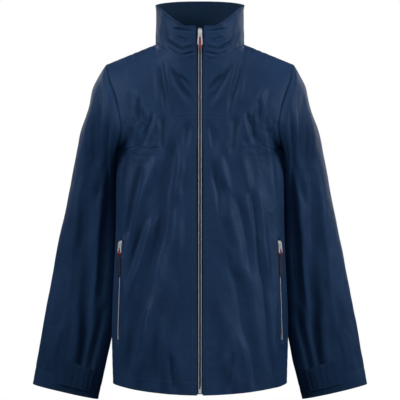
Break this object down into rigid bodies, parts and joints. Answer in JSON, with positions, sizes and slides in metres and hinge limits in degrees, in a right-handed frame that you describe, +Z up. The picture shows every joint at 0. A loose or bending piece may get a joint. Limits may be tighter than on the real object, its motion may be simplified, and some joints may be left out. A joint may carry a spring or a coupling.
{
  "type": "foul weather jacket",
  "caption": "Zip-front waterproof sailing jacket with high stand-up collar, chest yokes, zipped hand pockets, hook-and-loop cuff tabs and an inner hanger loop.",
  "frame": {"origin": "the inside of the hanger loop's top strap, where a coat hook bears", "axes": "+Z up, front of the jacket towards -Y, wearer's left towards +X"},
  "size_m": [0.71, 0.2263, 0.8475],
  "materials": {
    "shell_cloth": "proofed navy polyester taffeta, soft sheen",
    "lining_cloth": "matt dark navy lining taffeta",
    "zip_tape": "woven polyester zip tape",
    "coil_nylon": "silver grey nylon coil",
    "white_enamel": "white enamelled zinc",
    "red_cord": "braided red cord",
    "dark_rubber": "moulded dark rubber grip",
    "hook_and_loop": "black hook-and-loop tape"
  },
  "bodies": {
    "torso": {"back_lining": "lining_cloth", "back_panel": "shell_cloth", "back_yoke": "shell_cloth", "chin_guard": "lining_cloth", "collar_lining": "lining_cloth", "collar_shell": "shell_cloth", "hanger_loop": "zip_tape", "hem_facing": "shell_cloth", "left_front_lining": "lining_cloth", "left_front_panel": "shell_cloth", "left_front_yoke": "shell_cloth", "left_pocket_bag": "lining_cloth", "left_pocket_zip_coil": "coil_nylon", "left_pocket_zip_tape": "zip_tape", "left_zip_coil": "coil_nylon", "left_zip_tape": "zip_tape", "left_zip_top_stop": "coil_nylon", "right_front_lining": "lining_cloth", "right_front_panel": "shell_cloth", "right_front_yoke": "shell_cloth", "right_pocket_bag": "lining_cloth", "right_pocket_zip_coil": "coil_nylon", "right_pocket_zip_tape": "zip_tape", "right_zip_coil": "coil_nylon", "right_zip_tape": "zip_tape", "right_zip_top_stop": "coil_nylon", "storm_flap": "shell_cloth", "zip_insert_pin": "coil_nylon", "zip_retainer_box": "coil_nylon"},
    "main_slider": {"main_slider": "white_enamel"},
    "main_puller": {"main_puller": "white_enamel", "main_cord_loop": "red_cord", "main_pull_end": "dark_rubber"},
    "left_pocket_slider": {"left_pocket_slider": "white_enamel"},
    "left_pocket_puller": {"left_pocket_puller": "white_enamel", "left_pocket_cord_loop": "red_cord", "left_pocket_pull_tab": "dark_rubber"},
    "left_sleeve": {"left_sleeve": "shell_cloth", "left_sleeve_lining": "lining_cloth", "left_cuff_facing": "shell_cloth", "left_loop_patch": "hook_and_loop"},
    "left_cuff_tab": {"left_cuff_tab": "shell_cloth", "left_hook_patch": "hook_and_loop"},
    "right_pocket_slider": {"right_pocket_slider": "white_enamel"},
    "right_pocket_puller": {"right_pocket_puller": "white_enamel", "right_pocket_cord_loop": "red_cord", "right_pocket_pull_tab": "dark_rubber"},
    "right_sleeve": {"right_sleeve": "shell_cloth", "right_sleeve_lining": "lining_cloth", "right_cuff_facing": "shell_cloth", "right_loop_patch": "hook_and_loop"},
    "right_cuff_tab": {"right_cuff_tab": "shell_cloth", "right_hook_patch": "hook_and_loop"}
  },
  "joints": [
    {"name": "main_zip_slide", "type": "slide", "parent": "torso", "child": "main_slider", "axis": [0, -0.0466, -0.9989], "range_m": [0, 0.715]},
    {"name": "main_puller_swing", "type": "hinge", "parent": "main_slider", "child": "main_puller", "pos_m": [0, -0.14233, 0.01219], "axis": [-1, 0, 0], "range_deg": [0, 150]},
    {"name": "left_pocket_zip_slide", "type": "slide", "parent": "torso", "child": "left_pocket_slider", "axis": [0.0316, -0.0229, -0.9992], "range_m": [0, 0.172]},
    {"name": "left_pocket_puller_swing", "type": "hinge", "parent": "left_pocket_slider", "child": "left_pocket_puller", "pos_m": [0.16519, -0.11987, -0.42029], "axis": [-0.6667, -0.7453, -0.0039], "range_deg": [0, 140]},
    {"name": "left_sleeve_raise", "type": "hinge", "parent": "torso", "child": "left_sleeve", "pos_m": [0.196, -0.061, -0.0459], "axis": [0, -1, 0], "range_deg": [0, 45]},
    {"name": "left_cuff_tab_peel", "type": "hinge", "parent": "left_sleeve", "child": "left_cuff_tab", "pos_m": [0.22655, -0.04599, -0.71347], "axis": [0.2184, 0.036, -0.9752], "range_deg": [0, 95]},
    {"name": "right_pocket_zip_slide", "type": "slide", "parent": "torso", "child": "right_pocket_slider", "axis": [-0.0316, -0.0229, -0.9992], "range_m": [0, 0.172]},
    {"name": "right_pocket_puller_swing", "type": "hinge", "parent": "right_pocket_slider", "child": "right_pocket_puller", "pos_m": [-0.16519, -0.11987, -0.42029], "axis": [-0.6667, 0.7453, 0.0039], "range_deg": [0, 140]},
    {"name": "right_sleeve_raise", "type": "hinge", "parent": "torso", "child": "right_sleeve", "pos_m": [-0.196, -0.061, -0.0459], "axis": [0, 1, 0], "range_deg": [0, 45]},
    {"name": "right_cuff_tab_peel", "type": "hinge", "parent": "right_sleeve", "child": "right_cuff_tab", "pos_m": [-0.22655, -0.04599, -0.71347], "axis": [0.2184, -0.036, 0.9752], "range_deg": [0, 95]}
  ]
}
